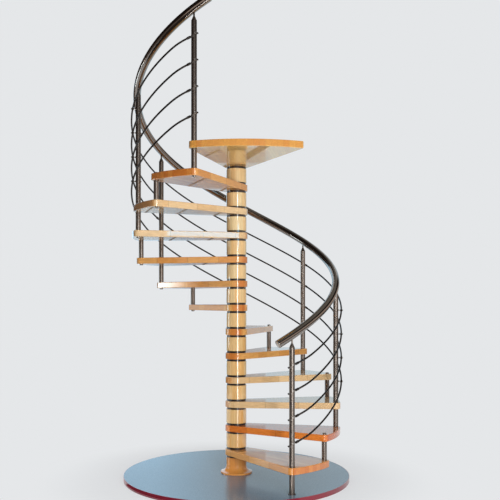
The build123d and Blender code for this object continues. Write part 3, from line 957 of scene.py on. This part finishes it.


# Glowing screen that only reflections show, a painted reflection in tones that run along one axis of the
# room.
def painted_reflection_screen(name):
    """Screen glow for painted reflections, shaded through evenly spaced tints from one place on an axis to
    another.
    """
    axis, first, last, tints, glow = REFLECTION_GLOWS[name]
    # A dim screen glow keeps half strength and brighter tints, so that it isn't sampled as a lamp
    strength = glow if glow > BRIGHT_GLOW else DIM_STRENGTH
    material, tree = new_material(name)
    place = add_node(tree, "ShaderNodeTexCoord")
    axes = add_node(tree, "ShaderNodeSeparateXYZ", links={0: place.outputs["Object"]})
    run = add_node(
        tree, "ShaderNodeMapRange", {"From Min": first, "From Max": last}, {"Value": axes.outputs[axis]}
    )
    shades = add_node(tree, "ShaderNodeValToRGB", links={0: run.outputs[0]})
    stops = shades.color_ramp.elements
    stops.remove(stops[1])
    for step, tint in enumerate(tints):
        stop = stops[0] if step == 0 else stops.new(step / (len(tints) - 1))
        stop.color = rgba([part * glow / strength for part in linear(tint)])
    screen_glow = add_node(tree, "ShaderNodeEmission", {"Strength": strength}, {"Color": shades.outputs[0]})
    add_node(tree, "ShaderNodeOutputMaterial", links={"Surface": screen_glow.outputs[0]})
    return material


def round_sheet(middle, reach):
    """Corners of a flat round sheet."""
    x, y, z = middle
    turns = [2 * math.pi * step / ROUND_STEPS for step in range(ROUND_STEPS)]
    return [(x + reach * math.cos(turn), y + reach * math.sin(turn), z) for turn in turns]


def set_up(scene, name, material, corners, faces):
    """Puts a piece of the studio in the scene."""
    mesh = bpy.data.meshes.new(name)
    mesh.from_pydata(corners, [], faces)
    mesh.materials.append(material)
    piece = bpy.data.objects.new(name, mesh)
    scene.collection.objects.link(piece)
    return piece


def hang(scene, name, screen_glow, corners, faces):
    """Hangs a glowing screen that only reflections meet, as a painted reflection."""
    screen = set_up(scene, name, screen_glow, corners, faces)
    screen.visible_camera = False
    screen.visible_diffuse = False
    screen.visible_shadow = False


class STAIR_OT_stage(bpy.types.Operator):
    """Set up the floor, the light and the camera"""

    bl_idname = "stair.stage"
    bl_label = "Stage"

    def execute(self, context):
        colours = context.scene.stair_colours
        scene = context.scene
        scene.view_settings.view_transform = "Standard"

        whole = [tuple(range(ROUND_STEPS))]
        set_up(scene, "floor", rolled_floor(colours), round_sheet((0, 0, 0), FLOOR_REACH), whole)
        # Glowing screens, sheets, cards and slats that only reflections show paint reflected light and shade
        screen_glows = {name: painted_reflection_screen(name) for name in REFLECTION_GLOWS}
        for name, screen_glow, first, last, tall in SCREENS:
            bearings = [first + (last - first) * step / SCREEN_STEPS for step in range(SCREEN_STEPS + 1)]
            corners = [spot_at(turn, SCREEN_REACH, z) for turn in bearings for z in (SCREEN_FOOT, tall)]
            strips = [(n, n + 2, n + 3, n + 1) for n in range(0, 2 * SCREEN_STEPS, 2)]
            hang(scene, name, screen_glows[screen_glow], corners, strips)
        for name, screen_glow, middle, reach in SHEETS:
            hang(scene, name, screen_glows[screen_glow], round_sheet(middle, reach), whole)
        for name, screen_glow, corners in CARDS:
            hang(scene, name, screen_glows[screen_glow], corners, [(0, 1, 2, 3)])
        for step in range(SLAT_COUNT):
            far = SLAT_SPACING * step
            near = far - (far - CAMERA_SPOT[2]) * SLAT_FALL
            corners = [(x, y, far) for x, y in SLAT_FAR_END] + [(x, y, near) for x, y in SLAT_NEAR_END]
            hang(scene, f"slat_{step:02d}", screen_glows["reflection_glow_umber"], corners, [(0, 1, 2, 3)])

        for name, spot, target, wide, tall, watts, tint, spread, shows in LAMPS:
            light = bpy.data.lights.new(name, "AREA")
            light.shape = "RECTANGLE"
            light.size = wide
            light.size_y = tall
            light.energy = watts
            light.color = linear(tint)
            light.spread = math.radians(spread)
            lamp = bpy.data.objects.new(name, light)
            lamp.location = spot
            lamp.rotation_euler = (Vector(target) - Vector(spot)).to_track_quat("-Z", "Y").to_euler()
            lamp.visible_camera = False
            lamp.visible_glossy = shows
            scene.collection.objects.link(lamp)

        world = bpy.data.worlds.new("studio")
        world.use_nodes = True
        tree = world.node_tree
        tree.nodes.clear()
        ambient = add_node(
            tree, "ShaderNodeBackground",
            {"Color": rgba(linear(AMBIENT_TINT)), "Strength": AMBIENT_STRENGTH},
        )
        plain = add_node(tree, "ShaderNodeBackground", {"Color": rgba(colours.backdrop)})
        both = add_node(
            tree, "ShaderNodeMixShader",
            links={0: shown_plain(tree), 1: ambient.outputs[0], 2: plain.outputs[0]},
        )
        add_node(tree, "ShaderNodeOutputWorld", links={"Surface": both.outputs[0]})
        scene.world = world

        view = bpy.data.cameras.new("camera")
        view.lens = CAMERA_LENS
        view.sensor_width = CAMERA_SENSOR
        view.shift_x, view.shift_y = CAMERA_SHIFT
        camera = bpy.data.objects.new("camera", view)
        camera.location = CAMERA_SPOT
        camera.rotation_euler = (math.radians(90), 0, 0)
        scene.collection.objects.link(camera)
        scene.camera = camera
        return {"FINISHED"}


STEPS = (
    STAIR_OT_plinth,
    STAIR_OT_column,
    STAIR_OT_treads,
    STAIR_OT_tubes,
    STAIR_OT_rods,
    STAIR_OT_clamps,
    STAIR_OT_nuts,
    STAIR_OT_rail_ends,
    STAIR_OT_stage,
)


class STAIR_PT_panel(bpy.types.Panel):
    """Steps that dress the stair, with its sizes and colours"""

    bl_idname = "STAIR_PT_panel"
    bl_label = "Spiral stair"
    bl_space_type = "VIEW_3D"
    bl_region_type = "UI"
    bl_category = "Stair"

    def draw(self, context):
        for step in STEPS:
            self.layout.operator(step.bl_idname)
        for group in (context.scene.stair_sizes, context.scene.stair_colours):
            column = self.layout.column()
            for name in group.bl_rna.properties.keys():
                if name not in ("rna_type", "name"):
                    column.prop(group, name)


CLASSES = (StairSizes, StairColours, *STEPS, STAIR_PT_panel)


def register():
    """Registers the classes and puts the settings on the scene."""
    for item in CLASSES:
        bpy.utils.register_class(item)
    bpy.types.Scene.stair_sizes = PointerProperty(type=StairSizes)
    bpy.types.Scene.stair_colours = PointerProperty(type=StairColours)


def unregister():
    """Takes the settings and the classes away again."""
    del bpy.types.Scene.stair_colours
    del bpy.types.Scene.stair_sizes
    for item in reversed(CLASSES):
        bpy.utils.unregister_class(item)


def main():
    register()
    bpy.ops.stair.plinth()
    bpy.ops.stair.column()
    bpy.ops.stair.treads()
    bpy.ops.stair.tubes()
    bpy.ops.stair.rods()
    bpy.ops.stair.clamps()
    bpy.ops.stair.nuts()
    bpy.ops.stair.rail_ends()
    bpy.ops.stair.stage()


if __name__ == "__main__":
    main()
